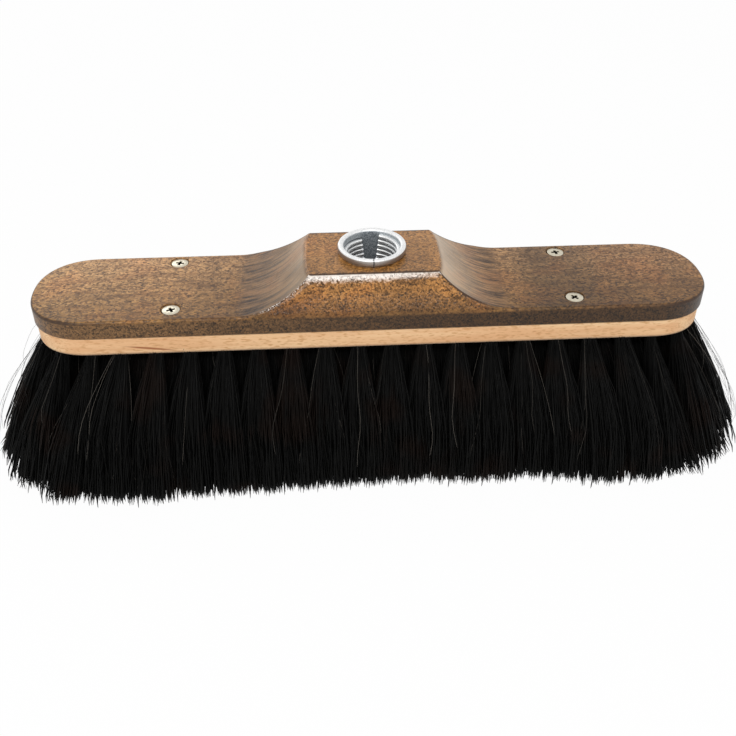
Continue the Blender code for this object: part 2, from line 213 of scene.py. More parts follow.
def right_half_sections():
    """Sections from the right tip to the middle: rows of (x, y, z, arris, slope, scoop)."""
    flat = half_section(0.0)
    inner = flat[ARRIS_ROW][0]
    sections = []
    for step in range(END_STEPS):
        ring = []
        for y, z, arris, slope in flat:
            edge_x, edge_y = end_outline(pi / 2 * step / END_STEPS, BLOCK_WIDTH / 2 - max(y, inner))
            ring.append((edge_x, edge_y * min(y / inner, 1.0), z, arris, slope, 0.0))
        sections.append(ring)
    sweep = asin(SCOOP_RUN / scoop_radius)
    turns = [sweep * i / SCOOP_STEPS for i in range(SCOOP_STEPS)]
    stations = [(x, 0.0) for x in (end_centre, *FLAT_STATIONS)]
    stations += [(scoop_foot - scoop_radius * sin(t), scoop_radius * (1 - cos(t))) for t in turns]
    start = stations[-1]
    corner = (SADDLE_HALF_LENGTH, saddle_rise)
    end = (SADDLE_HALF_LENGTH - SADDLE_EDGE, saddle_rise)
    stations += [rounded(start, corner, end, i / CORNER_STEPS) for i in range(1, CORNER_STEPS + 1)]
    stations += [(x, saddle_rise) for x in TOP_STATIONS]
    for x, height in stations:
        hollow = eased((scoop_foot - x) / SCOOP_FADE) * eased((x - SADDLE_HALF_LENGTH) / SADDLE_FADE)
        section = half_section(height)
        inner = section[ARRIS_ROW][0]
        ring = []
        for y, z, arris, slope in section:
            draw = SADDLE_CORNER_DRAW * height / saddle_rise * min(y / SADDLE_HALF_WIDTH, 1.0) ** 4
            draw *= min(x / SADDLE_HALF_LENGTH, 1.0)
            ring.append((x - draw, y, z, arris, slope, hollow if y <= inner + SAME_PLACE else 0.0))
        sections.append(ring)
    return sections


def skin(bm, rings, capped=True):
    """Join rings of corners into a surface, and close its two ends."""
    for ring, following in zip(rings, rings[1:]):
        for i in range(len(ring)):
            j = (i + 1) % len(ring)
            bm.faces.new((ring[i], ring[j], following[j], following[i]))
    if capped:
        bm.faces.new(rings[0])
        bm.faces.new(rings[-1])


def make_cover_shape():
    """The sections from tip to tip, skinned into one closed block."""
    bm = bmesh.new()
    layers = [bm.verts.layers.float.new(name) for name in ("arris", "slope", "scoop")]
    right = right_half_sections()
    left = [[(-x, *rest) for x, *rest in ring] for ring in right]
    rings = []
    for ring in left + list(reversed(right[:-1])):
        front = [(x, -y, *rest) for x, y, *rest in ring]
        row = []
        for x, y, z, *finish in front + list(reversed(ring[:-1])):
            vert = bm.verts.new((x, y, z))
            for layer, value in zip(layers, finish):
                vert[layer] = value
            row.append(vert)
        rings.append(row)
    skin(bm, rings, capped=False)
    bmesh.ops.remove_doubles(bm, verts=bm.verts, dist=SECTION_WELD)
    bmesh.ops.dissolve_degenerate(bm, edges=bm.edges, dist=NO_LENGTH)
    return bm


def add_lathe(bm, profile, sides, centre=(0.0, 0.0)):
    """A closed solid of revolution about a vertical axis, from (radius, height) pairs."""
    turns = [2 * pi * i / sides for i in range(sides)]
    skin(bm, [[
        bm.verts.new((centre[0] + radius * cos(t), centre[1] + radius * sin(t), height)) for t in turns]
        for radius, height in profile])


def plan_outline(inset):
    """The block's plan, drawn in by an inset, as (x, y) points."""
    quarter = [end_outline(pi / 2 * i / END_STEPS, inset) for i in range(END_STEPS + 1)]
    right = [(x, -y) for x, y in reversed(quarter)] + quarter[1:]
    return right + [(-x, -y) for x, y in right]


def add_slab(bm, levels):
    """A slab with the block's plan, from (inset, height) pairs, bottom to top."""
    skin(bm, [
        [bm.verts.new((x, y, height)) for x, y in plan_outline(inset)] for inset, height in levels])


def add_piece(name, bm):
    """Turn a bmesh into an object of the scene, faces outwards."""
    bmesh.ops.recalc_face_normals(bm, faces=bm.faces)
    mesh = bpy.data.meshes.new(name)
    bm.to_mesh(mesh)
    bm.free()
    piece = bpy.data.objects.new(name, mesh)
    scene.collection.objects.link(piece)
    return piece


def keep_shape(piece, smooth_angle=SMOOTH_ANGLE):
    """Make what the piece's modifiers give its plain mesh, with its round stretches smooth."""
    graph = bpy.context.evaluated_depsgraph_get()
    mesh = bpy.data.meshes.new_from_object(
        piece.evaluated_get(graph), preserve_all_data_layers=True, depsgraph=graph)
    piece.modifiers.clear()
    piece.data = mesh
    mesh.shade_smooth()
    mesh.set_sharp_from_angle(angle=radians(smooth_angle))


def cut_away(piece, bm):
    """Cut a shape out of a piece."""
    cutter = add_piece(piece.name + "_cutter", bm)
    modifier = piece.modifiers.new("cut", "BOOLEAN")
    modifier.operation = "DIFFERENCE"
    modifier.solver = "EXACT"
    modifier.object = cutter
    keep_shape(piece)
    bpy.data.objects.remove(cutter)
    # Corners that the cut has left on top of each other become one
    bm = bmesh.new()
    bm.from_mesh(piece.data)
    bmesh.ops.remove_doubles(bm, verts=bm.verts, dist=SAME_PLACE)
    bm.to_mesh(piece.data)
    bm.free()


def hole_mouth(radius, top, edge):
    """The upper end of a drill that takes the hole's edge off, as (radius, height) pairs."""
    return [(radius, top - edge), (radius + edge, top), (radius + edge, top + CUT_PAST)]


cover = add_piece("cover_block_beech", make_cover_shape())
recess = bmesh.new()
add_slab(recess, [
    (WIRE_RECESS_INSET, COVER_BOTTOM - CUT_PAST), (WIRE_RECESS_INSET, COVER_BOTTOM + WIRE_RECESS)])
cut_away(cover, recess)
holes = bmesh.new()
socket_mouth = hole_mouth(SOCKET_HOLE, SADDLE_TOP, SOCKET_HOLE_EDGE)
add_lathe(holes, [(SOCKET_HOLE, SOCKET_FLOOR)] + socket_mouth, SOCKET_SIDES)
for centre in screw_places:
    add_lathe(holes, [
        (SCREW_SHANK_HOLE, COVER_BOTTOM - CUT_PAST),
        (SCREW_SHANK_HOLE, SCREW_SEAT - SCREW_HEAD_HOLE + SCREW_SHANK_HOLE),
        (SCREW_HEAD_HOLE, SCREW_SEAT)] + hole_mouth(SCREW_HEAD_HOLE, FLAT_TOP, SCREW_HOLE_EDGE),
        SCREW_SIDES, centre)
cut_away(cover, holes)


def colour(hex_value):
    """An sRGB hex colour as the linear one that a shader takes."""
    shares = [int(hex_value[i:i + 2], 16) / 255 for i in (1, 3, 5)]
    return (*[s / 12.92 if s <= 0.04045 else ((s + 0.055) / 1.055) ** 2.4 for s in shares], 1.0)


def give_inputs(node, inputs):
    """Give a node's inputs, by name or in their order, values, hex colours or other nodes' outputs.

    In order, a noise's inputs are its place, scale, detail and roughness, and a map range's are its
    value, where that starts and ends, and what the start and the end give.
    """
    sockets = [s for s in node.inputs if s.enabled]
    if isinstance(inputs, dict):
        names = [s.name for s in sockets]
        sockets = [sockets[names.index(name)] for name in inputs]
        inputs = inputs.values()
    for socket, given_value in zip(sockets, inputs):
        for value in given_value if isinstance(given_value, list) else [given_value]:
            if isinstance(value, bpy.types.Node):
                value = next(s for s in value.outputs if s.enabled)
            if isinstance(value, bpy.types.NodeSocket):
                node.id_data.links.new(value, socket)
            else:
                socket.default_value = colour(value) if str(value).startswith("#") else value


def add_node(tree, kind, inputs=(), **settings):
    """Add a node with its settings and links. The kind leaves out its family, such as ShaderNode."""
    own_family = tree.bl_idname.removesuffix("Tree")
    families = (own_family, "ShaderNode", "FunctionNode", "")
    node = tree.nodes.new(next(f + kind for f in families if hasattr(bpy.types, f + kind)))
    for name, value in settings.items():
        setattr(node, name, value)
    give_inputs(node, inputs)
    return node


def new_material(name):
    """A material: returns it, its shader, what adds nodes to it, and the Object coordinates."""
    material = bpy.data.materials.new(name)
    material.use_nodes = True
    add = partial(add_node, material.node_tree)
    return material, material.node_tree.nodes["Principled BSDF"], add, add("TexCoord").outputs["Object"]


# Settings that many nodes share: one colour laid over another or multiplied by it, and plain sums
LAY = {"data_type": "RGBA"}
TINT = {"data_type": "RGBA", "blend_type": "MULTIPLY"}
TIMES, OVER, PLUS, MINUS, POWER = [
    {"operation": operation} for operation in ("MULTIPLY", "DIVIDE", "ADD", "SUBTRACT", "POWER")]


# Stained and waxed beech: walnut stain gathers in the pores, so fine pale flecks half a millimetre to
# a millimetre long lie close together on darker wood. They run along the flats, are round on the cut
# slopes, where the end of the grain shows, and in the scoops the year rings come out as wavy lines.

FLECK_MM = 0.80
SPECK_MM = 0.75
RING_MM = 1.3
# Streaks are 3 mm apart, and soft patches 17 mm across
STREAKS_PER_METRE = 340
PATCHES_PER_METRE = 60
# The year rings lie parallel to the front slope, and wave slowly along and across the block
RING_NORMAL = (0.0, -0.891, 0.454)
RING_SCALES = (70.0, 30.0, 1100 / RING_MM)
# How much light the uneven stain and the painted shade leave, from the block's left end to
# its right
STAIN_AND_SHADE_STOPS = (
    (0.20, 0.95), (0.33, 0.66), (0.45, 0.98), (0.55, 0.90), (0.62, 1.04), (0.69, 0.80), (0.76, 0.42))

beech, shader, add, place = new_material("stained_waxed_beech")
x, y, z = add("SeparateXYZ", [place]).outputs
scoop_share, slope_share, arris_share = [
    add("Attribute", attribute_name=name).outputs["Fac"] for name in ("scoop", "slope", "arris")]
along_flats = add("Mapping", {"Vector": place, "Scale": (0.75, 1.0, 1.0)})
flecks = add("TexNoise", (along_flats, 800 / FLECK_MM, 2.0, 0.65))
speckle = add("TexNoise", (place, 1000 / SPECK_MM, 2.0, 0.65))
lights = []
for cell_place, cell_mm, noise, darkest, cell_part in (
        (along_flats, FLECK_MM, flecks, 0.36, 0.78), (place, SPECK_MM, speckle, 0.38, 0.70)):
    cells = add("TexVoronoi", {"Vector": cell_place, "Scale": 1000 / cell_mm})
    cell_light = add("SeparateColor", [cells.outputs["Color"]])
    lights.append(add("Mix", (cell_part, add("MapRange", (noise, darkest, 0.62)), cell_light)))
fleck_light, speckle_light = lights
along_block = add("Mapping", {"Vector": place, "Scale": (0.10, 1.0, 1.0)})
streaks = add("TexNoise", (along_block, STREAKS_PER_METRE, 3.0))
patches = add("TexNoise", (place, PATCHES_PER_METRE, 2.0))
ring_depth = add("VectorMath", (place, RING_NORMAL), operation="DOT_PRODUCT")
ring_place = add("VectorMath", (add("CombineXYZ", (x, y, ring_depth)), RING_SCALES), **TIMES)
rings = add("TexNoise", (ring_place, 1.0, 3.0, 0.6))

flats = add("Mix", (fleck_light, "#341b08", "#d6a569"), **LAY)
flats = add("Mix", (add("MapRange", (streaks, 0.42, 0.70, 0.0, 0.55)), flats, "#6b4520"), **LAY)
# Painted sheen: the flats are paler and greyer towards the back, and darker and more saturated in front
across = add("MapRange", (y, -0.026, 0.026, 0.66, 1.44))
back_sheen_tone = add("CombineColor", (
    across, add("Math", (across, 1.15), **POWER), add("Math", (across, 1.7), **POWER)))
flats = add("Mix", (1.0, flats, back_sheen_tone), **TINT)
ring_light = add("MapRange", (rings, 0.39, 0.59))
scoops = add("Mix", (ring_light, "#261307", "#a67f54"), **LAY)
tops = add("Mix", (add("Math", (scoop_share, 0.8), **TIMES), flats, scoops), **LAY)
# Painted sheen: the scoops turn paler and greyer towards their tops, more so on the right
scoop_sheen = add("MapRange", (z, 0.0775, 0.0895, 0.0, add("MapRange", (x, -0.02, 0.02, 0.60, 0.85))))
tops = add("Mix", (add("Math", (scoop_sheen, scoop_share), **TIMES), tops, "#d8c4a9"), **LAY)
slopes = add("Mix", (speckle_light, "#0e0501", "#d69954"), **LAY)
slopes = add("Mix", (1.0, slopes, add("MapRange", (z, FLAT_TOP, 0.0855, 0.40, 0.95))), **TINT)
# The stain took unevenly, and shade is painted in with it: the block is darker in the left scoop,
# and towards the right end past the right scoop
stain_and_shade = add("ValToRGB", [add("MapRange", (x, -BLOCK_LENGTH / 2, BLOCK_LENGTH / 2))])
ramp = stain_and_shade.color_ramp
ramp.interpolation = "EASE"
ramp.elements[0].color = (1.0, 1.0, 1.0, 1.0)
ramp.elements[1].position = 0.95
ramp.elements[1].color = (0.68, 0.64, 0.66, 1.0)
for position, share in STAIN_AND_SHADE_STOPS:
    ramp.elements.new(position).color = (share, share * 0.97, share * 0.97, 1.0)
# Stain ran down and dried dark on the block's upright sides; thin dark lines run along the arrises,
# and at the ends along the flats' rounded edge
sides = add("Mix", (speckle_light, "#0f0802", "#866440"), **LAY)
side_tone = add("Mix", (
    add("MapRange", (x, -0.11, 0.02)), (1.15, 1.12, 1.08, 1.0), (0.38, 0.34, 0.29, 1.0)), **LAY)
sides = add("Mix", (1.0, sides, side_tone), **TINT)
at_ends = add("MapRange", (add("Math", [x], operation="ABSOLUTE"), 0.112, 0.130, 0.0, 0.85))
on_edge = add("Math", (
    add("MapRange", (z, 0.07675, 0.0766)), add("MapRange", (z, 0.0752, 0.0758))), **TIMES)
# Painted highlight: under the front arris a pale strip is painted, most at its left end, and ever
# thinner in dots below; the arris between the slope and the left scoop has such painted dots too
highlight_foot = add("MapRange", (x, 0.005, 0.032, 0.0887, 0.0905))
highlight_height = add("Math", (z, highlight_foot), **MINUS)
painted_highlight = add("MapRange", (highlight_height, -0.0010, 0.0030, -1.0, 0.72))
painted_highlight = add("Math", (painted_highlight, speckle_light), use_clamp=True, **PLUS)
under_top = add("MapRange", (z, 0.0914, 0.0916, 1.0, 0.0))
painted_highlight = add("Math", (painted_highlight, add("Math", (slope_share, under_top), **TIMES)), **TIMES)
dots = add("Math", (add("MapRange", (speckle, 0.52, 0.58)), arris_share), **TIMES)
left_of_saddle = add("Math", (x, -SADDLE_HALF_LENGTH), operation="LESS_THAN")
dots = add("Math", (dots, left_of_saddle), **TIMES)
painted_highlight = add("Math", (painted_highlight, dots), operation="MAXIMUM")
in_front = add("Math", (y, 0.0), operation="LESS_THAN")

wood = add("Mix", (slope_share, tops, slopes), **LAY)
for share, coat, settings in (
        # The saddle's top is a little paler
        (1.0, add("MapRange", (z, 0.0913, 0.0917, 1.0, 1.14)), TINT),
        (1.0, stain_and_shade, TINT),
        # In soft patches the wood turns greyer and darker, in others redder
        (add("MapRange", (patches, 0.45, 0.70)), (0.74, 0.72, 0.70, 1.0), TINT),
        (add("MapRange", (patches, 0.50, 0.32, 0.0, 0.8)), (1.0, 0.86, 0.78, 1.0), TINT),
        (add("MapRange", (z, 0.0752, 0.0764, 1.0, 0.0)), sides, LAY),
        (add("Math", (at_ends, on_edge), **TIMES), "#33231a", LAY),
        (add("Math", (arris_share, add("MapRange", (x, -0.031, -0.028, 0.35, 0.85))), **TIMES),
         "#2f1f13", LAY),
        # Painted highlight along the top of the front slope
        (add("Math", (painted_highlight, in_front), **TIMES), "#ece2d8", LAY)):
    wood = add("Mix", (share, wood, coat), **settings)

# Wax shines most on the end grain of the slopes, in small dots
wax = add("MapRange", (speckle, 0.35, 0.65, 0.34, 0.48))
polish = add("MapRange", (slope_share, 0.0, 1.0, 0.0, 0.18))
wax = add("Math", (wax, polish), **MINUS)
# The facet under the front arris is sanded and polished smooth, so that it catches the light
on_facet = add("Math", (slope_share, add("MapRange", (z, 0.0888, 0.0908))), **TIMES)
pore_depth = add("MapRange", (on_facet, 0.0, 1.0, 0.5, 0.10))
give_inputs(shader, {
    "Base Color": wood, "Roughness": add("Mix", (on_facet, wax, 0.20)), "Specular IOR Level": 0.32,
    "Normal": add("Bump", {"Strength": pore_depth, "Distance": 0.0003, "Height": speckle})})

cover.data.materials.clear()
cover.data.materials.append(beech)
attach(cover, "root")
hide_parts("cover_block")


# Bristle board
# A planed slab of raw beech with a hole for each tuft, bored before the hair is drawn in. The cover
# hides its upper side, and four blind holes in it take the screws.

BOARD_BOTTOM = 0.0590
BOARD_TOP = 0.0680
BOARD_INSET = 0.0008
BOARD_EDGE = 0.0011
BOARD_TOP_EDGE = 0.0004
TUFT_HOLE = 0.0027
HOLE_SIDES = 14
PILOT_HOLE = 0.0023
PILOT_FLOOR = 0.0602
ROW_OUTER = 0.0220
FAN_REACH = 0.0222
RANKS_PER_SIDE = 8
FAN_TUFTS = ((-90, 1), (-54, 1), (-45, 0.5), (-18, 1), (18, 1), (45, 0.5), (54, 1), (90, 1))

row_step = ROW_OUTER / 2
rank_pitch = end_centre / (RANKS_PER_SIDE + 0.4)


def tuft_chains():
    """Plan places of the tufts, in the order in which each length of wire draws them in."""
    chains = {}
    for rank in range(2 * RANKS_PER_SIDE):
        pair_x = (rank - RANKS_PER_SIDE) * rank_pitch
        chains[f"rank_{rank + 1:02d}"] = [
            (pair_x + (rank_pitch / 2 if row % 2 == 0 else 0.0), row * row_step) for row in range(-2, 3)]
    for name, side in (("fan_left", -1), ("fan_right", 1)):
        chains[name] = [(
            side * (end_centre + FAN_REACH * share * cos(radians(angle))),
            ROW_OUTER * share * sin(radians(angle))) for angle, share in FAN_TUFTS]
    pair_x = RANKS_PER_SIDE * rank_pitch
    chains["fan_right"] = [(pair_x, -row_step)] + chains["fan_right"] + [(pair_x, row_step)]
    return chains


def new_shape_tree(name, sizes):
    """A geometry tree whose inputs are the sizes: returns it, what adds nodes to it, and its inputs."""
    tree = bpy.data.node_groups.new(name, "GeometryNodeTree")
    tree.interface.new_socket("Geometry", in_out="INPUT", socket_type="NodeSocketGeometry")
    for label, value in sizes.items():
        kind = {int: "NodeSocketInt", float: "NodeSocketFloat"}.get(type(value), "NodeSocketObject")
        socket = tree.interface.new_socket(label, in_out="INPUT", socket_type=kind)
        if kind != "NodeSocketObject":
            socket.default_value = value
    tree.interface.new_socket("Geometry", in_out="OUTPUT", socket_type="NodeSocketGeometry")
    add = partial(add_node, tree)
    return tree, add, add("NodeGroupInput").outputs


def end_tree(add, shape, material):
    """Close a geometry tree: one real mesh, with its material."""
    real = add("RealizeInstances", [shape])
    add("NodeGroupOutput", [add("SetMaterial", {"Geometry": real, "Material": material})])


def grow_piece(name, tree, sizes, places, attributes=None, edges=(), smooth_angle=SMOOTH_ANGLE):
    """Run a geometry tree over a few places and keep its result as a plain mesh."""
    mesh = bpy.data.meshes.new(name)
    mesh.from_pydata(places, edges, [])
    for label, values in (attributes or {}).items():
        kind, key = ("FLOAT_VECTOR", "vector") if isinstance(values[0], tuple) else ("FLOAT", "value")
        mesh.attributes.new(label, kind, "POINT").data.foreach_set(key, np.ravel(values))
    piece = bpy.data.objects.new(name, mesh)
    scene.collection.objects.link(piece)
    modifier = piece.modifiers.new("shape", "NODES")
    modifier.node_group = tree
    for item in tree.interface.items_tree:
        if item.in_out == "INPUT" and item.name in sizes:
            modifier[item.identifier] = sizes[item.name]
    keep_shape(piece, smooth_angle)
    return piece


# Raw beech, planed: pale orange-pink with short brown dashes, its pith flecks, along the grain.

DASH_MM = 0.6
# Paler and darker bands are 4 mm wide
BANDS_PER_METRE = 260

raw_beech, shader, add, place = new_material("planed_raw_beech")
z = add("SeparateXYZ", [place]).outputs["Z"]
grain = add("Mapping", {"Vector": place, "Scale": (0.22, 1.0, 1.0)})
dashes = add("TexNoise", (grain, 1000 / DASH_MM, 1.0))
along_board = add("Mapping", {"Vector": place, "Scale": (0.04, 1.0, 1.0)})
bands = add("TexNoise", (along_board, BANDS_PER_METRE, 2.0))
# A reddish streak of heartwood shows on the front, towards the left
streak_place = add("Mapping", {
    "Vector": place, "Location": (-0.0970, -0.0262, 0.0622), "Rotation": (0.0, radians(7.4), 0.0),
    "Scale": (0.0125, 0.02, 0.0007)}, vector_type="TEXTURE")
streak = add("TexGradient", [streak_place], gradient_type="SPHERICAL").outputs["Fac"]
wood = "#e2b081"
for share, coat in (
        (add("MapRange", (bands, 0.35, 0.65)), "#f0c99b"),
        (add("MapRange", (dashes, 0.53, 0.70, 0.0, 0.7)), "#c48d58"),
        (add("MapRange", (streak, 0.0, 0.5, 0.0, 0.85)), "#9c5a33"),
        # Painted shade: the board's lower edge, turned down away from the light, is painted grey
        (add("MapRange", (z, 0.0595, 0.0606, 0.8, 0.0)), "#857869")):
    wood = add("Mix", (share, wood, coat), **LAY)
give_inputs(shader, {
    "Base Color": wood, "Roughness": 0.62, "Specular IOR Level": 0.35,
    "Normal": add("Bump", {"Strength": 0.25, "Distance": 0.0001, "Height": dashes})})

tree, add, given = new_shape_tree("bored_board", {
    "Slab": None, "Tuft hole radius": TUFT_HOLE, "Screw hole radius": PILOT_HOLE,
    "Board bottom": BOARD_BOTTOM, "Board top": BOARD_TOP, "Screw hole floor": PILOT_FLOOR})
is_screw = add("InputNamedAttribute", ["screw"], data_type="FLOAT")
high = add("Math", (given["Board top"], CUT_PAST), **PLUS)
drills = []
for comparison, radius, floor, past in (
        ("LESS_THAN", "Tuft hole radius", "Board bottom", CUT_PAST),
        ("GREATER_THAN", "Screw hole radius", "Screw hole floor", 0.0)):
    low = add("Math", (given[floor], past), **MINUS)
    middle = add("Math", (add("Math", (high, low), **PLUS), 0.5), **TIMES)
    bit = add("MeshCylinder", {
        "Vertices": HOLE_SIDES, "Radius": given[radius],
        "Depth": add("Math", (high, low), **MINUS)})
    drills.append(add("InstanceOnPoints", {
        "Points": given["Geometry"],
        "Selection": add("Compare", (is_screw, 0.5), operation=comparison),
        "Instance": add("Transform", {
            "Geometry": bit, "Translation": add("CombineXYZ", {"Z": middle})})}))
drills = add("RealizeInstances", [add("JoinGeometry", [drills])])
end_tree(add, add("MeshBoolean", {
    "Mesh 1": add("ObjectInfo", [given["Slab"]]).outputs["Geometry"],
    "Mesh 2": drills}, operation="DIFFERENCE", solver="EXACT"), raw_beech)

slab = bmesh.new()
lower_edge = [
    (BOARD_INSET + BOARD_EDGE * inwards, BOARD_BOTTOM + BOARD_EDGE * up)
    for inwards, up in ((1.0, 0.0), (0.55, 0.12), (0.2, 0.42), (0.0, 1.0))]
add_slab(slab, lower_edge + [
    (BOARD_INSET, BOARD_TOP - BOARD_TOP_EDGE), (BOARD_INSET + BOARD_TOP_EDGE, BOARD_TOP)])
slab = add_piece("board_slab", slab)
tuft_places = [place for chain in tuft_chains().values() for place in chain]
hole_places = [(x, y, 0.0) for x, y in tuft_places + screw_places]
board = grow_piece("bristle_board_beech", tree, {"Slab": slab}, hole_places, {
    "screw": [0.0] * len(tuft_places) + [1.0] * len(screw_places)})
bpy.data.objects.remove(slab)
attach(board, "root")
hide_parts("bristle_board")


# Handle socket
# Galvanised sheet, rolled into a tube with a seam in front, with a curled rim that hangs on the wood.
# Ribs are pressed inwards from it as a right-hand thread; a plain strip at the back has none.

SOCKET_BORE = 0.0123
SOCKET_OUTER = 0.0132
SOCKET_BOTTOM = 0.0746
SHELL_STEPS = 120
RIM_RADIUS = 0.0150
RIM_TOP = 0.0957
SEAM = 0.0004
RIM_FOOT = 0.0924
RIM_STEPS = 20
RIM_START = 0.25
RIB_TOP = 0.0933
RIB_PITCH = 0.00235
RIB_HEIGHT = 0.0015
RIB_WIDTH = 0.0017
RIB_EDGE = 0.0007
RIB_LEAN = radians(1.4)
RIB_MARGIN = radians(5)
STRIP_WIDTH = 0.0086
THREAD_TURNS = 7

seam_turn = SEAM / (2 * SOCKET_BORE)
strip_turn = STRIP_WIDTH / (2 * SOCKET_BORE)
rib_sweep = pi - RIB_MARGIN - strip_turn


def make_socket_shell():
    """The tube with its curled rim, open by the seam's width at -Y."""
    wall_middle = (RIM_RADIUS + SOCKET_BORE) / 2
    half_width = (RIM_RADIUS - SOCKET_BORE) / 2
    bead_middle = (RIM_TOP + RIM_FOOT) / 2
    half_height = RIM_TOP - bead_middle
    profile = [(SOCKET_OUTER, SOCKET_BOTTOM), (SOCKET_OUTER, SADDLE_TOP - 0.0005)]
    # The bead leaves the tube under the rim and comes back to the bore on top
    for step in range(RIM_STEPS + 1):
        turn = -pi / 2 + RIM_START + (1.5 * pi - RIM_START) * step / RIM_STEPS
        # It is squarish outside and round towards the bore
        power = 0.5 if cos(turn) > 0 else 0.75
        along = copysign(abs(cos(turn)) ** power, cos(turn))
        up = copysign(abs(sin(turn)) ** power, sin(turn))
        profile.append((wall_middle + half_width * along, bead_middle + half_height * up))
    profile += [(SOCKET_BORE, z) for z in np.linspace(SADDLE_TOP + 0.001, SOCKET_BOTTOM, 5)]
    bm = bmesh.new()
    rings = []
    for step in range(SHELL_STEPS + 1):
        turn = -pi / 2 + seam_turn + (2 * pi - 2 * seam_turn) * step / SHELL_STEPS
        rings.append([bm.verts.new((r * cos(turn), r * sin(turn), z)) for r, z in profile])
    skin(bm, rings)
    return bm


# Galvanised steel: the wall is a dull bluish grey, speckled by its zinc crystals. The curled rim's
# side is painted grey as shade, and its top and the ribs are painted white and bright as highlights.

SPANGLE_MM = 0.4

galvanised, shader, add, place = new_material("galvanised_sheet_steel")
x, y, z = add("SeparateXYZ", [place]).outputs
rib_share = add("Attribute", attribute_name="rib").outputs["Fac"]
spangle = add("TexNoise", (place, 1000 / SPANGLE_MM, 2.0))
from_axis = add("VectorMath", [add("CombineXYZ", (x, y))], operation="LENGTH")
on_wall = add("Math", (from_axis, SOCKET_BORE + 0.0006), operation="LESS_THAN")
on_side = add("Math", (from_axis, RIM_RADIUS - 0.0004), operation="GREATER_THAN")
below_bead = add("MapRange", (z, RIM_TOP - 0.0008, RIM_TOP - 0.0004, 1.0, 0.0))
wall_share = add("Math", (
    add("Math", (on_wall, below_bead), **TIMES), rib_share), use_clamp=True, **MINUS)
# Painted shade darkens the grooves between the ribs, and the wall above the thread is painted
# lighter as if lit; the plain strip has neither
off_strip = add("MapRange", (
    add("Math", [x], operation="ABSOLUTE"), STRIP_WIDTH / 2 - 0.0012, STRIP_WIDTH / 2 + 0.0002))
thread_shade = add("MapRange", (z, RIB_TOP - 0.0010, RIB_TOP - 0.0004, 0.85, 0.0))
light_above_thread = add("MapRange", (z, RIB_TOP - 0.0010, RIB_TOP - 0.0004, 0.0, 0.4))

dull = add("Mix", (add("MapRange", (spangle, 0.42, 0.64)), "#7b8289", "#c3c9cd"), **LAY)
for share, coat in ((thread_shade, "#22282c"), (light_above_thread, "#d5dadb")):
    dull = add("Mix", (add("Math", (off_strip, share), **TIMES), dull, coat), **LAY)
# The rim's top and the ribs are painted white and bright, as highlights
steel = add("Mix", (add("MapRange", (spangle, 0.35, 0.62)), "#d3d5d6", "#f6f6f5"), **LAY)
for share, coat in (
        # Painted shade: the rim's side is grey
        (add("Math", (on_side, below_bead), **TIMES), "#a59d96"),
        (wall_share, dull),
        # Painted shade blackens the bottom of the bore
        (add("MapRange", (z, 0.0806, 0.0794)), "#0b0b0c")):
    steel = add("Mix", (share, steel, coat), **LAY)
give_inputs(shader, {
    "Base Color": steel, "Metallic": 0.9,
    "Roughness": add("MapRange", (wall_share, 0.0, 1.0, 0.40, 0.6)),
    "Normal": add("Bump", {"Strength": 0.05, "Distance": 0.0001, "Height": spangle})})

tree, add, given = new_shape_tree("ribbed_socket", {
    "Shell": None, "Bore radius": SOCKET_BORE, "Rib height": RIB_HEIGHT, "Rib width": RIB_WIDTH,
    "Rib edge": RIB_EDGE, "Rib sweep": rib_sweep, "Thread pitch": RIB_PITCH})
bend = add("CurveArc", {
    "Resolution": 40, "Radius": given["Bore radius"], "Start Angle": -pi / 2 + RIB_MARGIN,
    "Sweep Angle": given["Rib sweep"]}, mode="RADIUS")
rise = add("Math", (add("Math", (given["Rib sweep"], given["Thread pitch"]), **TIMES), 2 * pi), **OVER)
climb = add("Math", (rise, add("SplineParameter").outputs["Factor"]), **TIMES)
bend = add("SetPosition", {"Geometry": bend, "Offset": add("CombineXYZ", {"Z": climb})})
rib_section = add("CurvePrimitiveQuadrilateral", {
    "Width": add("Math", (given["Rib height"], 2.0), **TIMES), "Height": given["Rib width"]})
rib_section = add("FilletCurve", {
    "Curve": rib_section, "Count": 4, "Radius": given["Rib edge"], "Limit Radius": True}, mode="POLY")
rib = add("CurveToMesh", {"Curve": bend, "Profile Curve": rib_section, "Fill Caps": True})
ribs = add("InstanceOnPoints", {
    "Points": given["Geometry"],
    "Instance": add("StoreNamedAttribute", {
        "Geometry": rib, "Name": "rib", "Value": 1.0}, data_type="FLOAT"),
    "Rotation": add("CombineXYZ", {"Z": add("InputNamedAttribute", ["turn"], data_type="FLOAT")})})
shell_shape = add("ObjectInfo", [given["Shell"]]).outputs["Geometry"]
end_tree(add, add("JoinGeometry", [[ribs, shell_shape]]), galvanised)

shell = add_piece("socket_shell", make_socket_shell())
rib_places = []
rib_turns = []
for number in range(THREAD_TURNS):
    # Each turn is two ribs: down from the strip to the seam on the right, then on up the left side
    for turns_down in (0.5 - RIB_MARGIN / (2 * pi), 1 - strip_turn / (2 * pi)):
        rib_places.append((0.0, 0.0, RIB_TOP - (number + turns_down) * RIB_PITCH))
    rib_turns += [number * RIB_LEAN, pi + strip_turn - RIB_MARGIN - number * RIB_LEAN]
socket = grow_piece("handle_socket_steel", tree, {"Shell": shell}, rib_places, {"turn": rib_turns})
bpy.data.objects.remove(shell)
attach(socket, "root")
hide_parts("handle_socket")


# Cover screws
# Four 4 mm countersunk wood screws with a cross recess, driven down until their heads sit just under
# the wood. Each stopped at its own turn.

